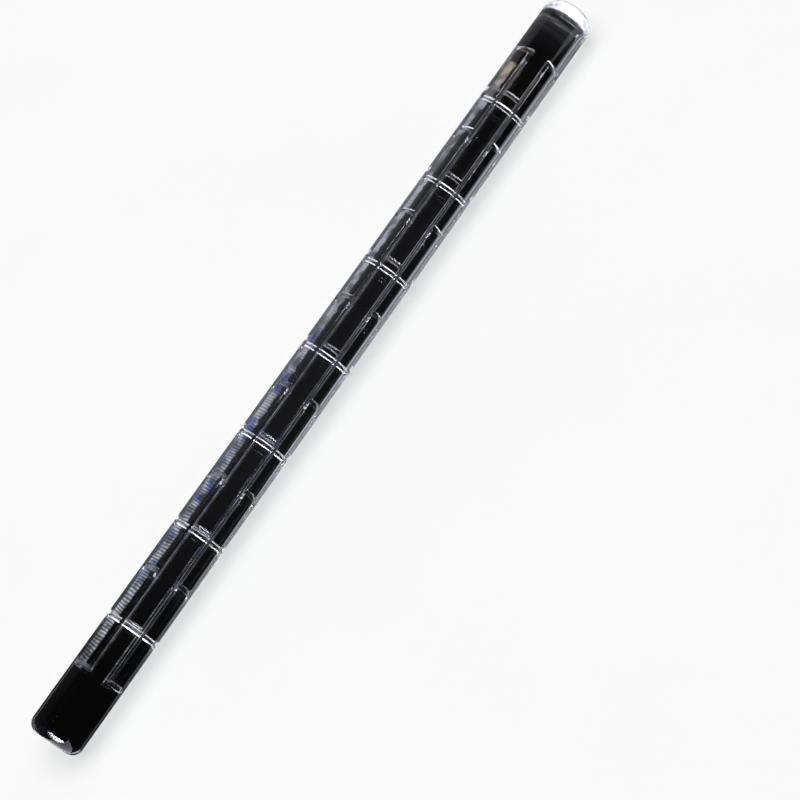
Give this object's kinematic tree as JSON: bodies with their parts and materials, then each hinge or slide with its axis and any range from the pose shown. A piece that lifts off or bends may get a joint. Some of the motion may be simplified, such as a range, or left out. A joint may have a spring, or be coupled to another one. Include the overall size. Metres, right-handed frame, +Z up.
{
  "type": "embossed rolling pin",
  "caption": "Solid clear rod with a running-bond brick pattern grooved around it, plain polished ends and rounded rims, for pressing raised mortar lines into fondant or dough.",
  "frame": {"origin": "centre of the rod, on its axis halfway between the two end faces", "axes": "+X along the rod towards the end that is farther from the camera in the picture, +Z up with the rod lying on a table, a closed course of bricks centred on +Z"},
  "size_m": [0.33, 0.02, 0.02],
  "materials": {
    "clear_acrylic": "polished clear acrylic, with the grooves left as cut"
  },
  "bodies": {
    "root": {"embossed_rod": "clear_acrylic"}
  },
  "joints": []
}
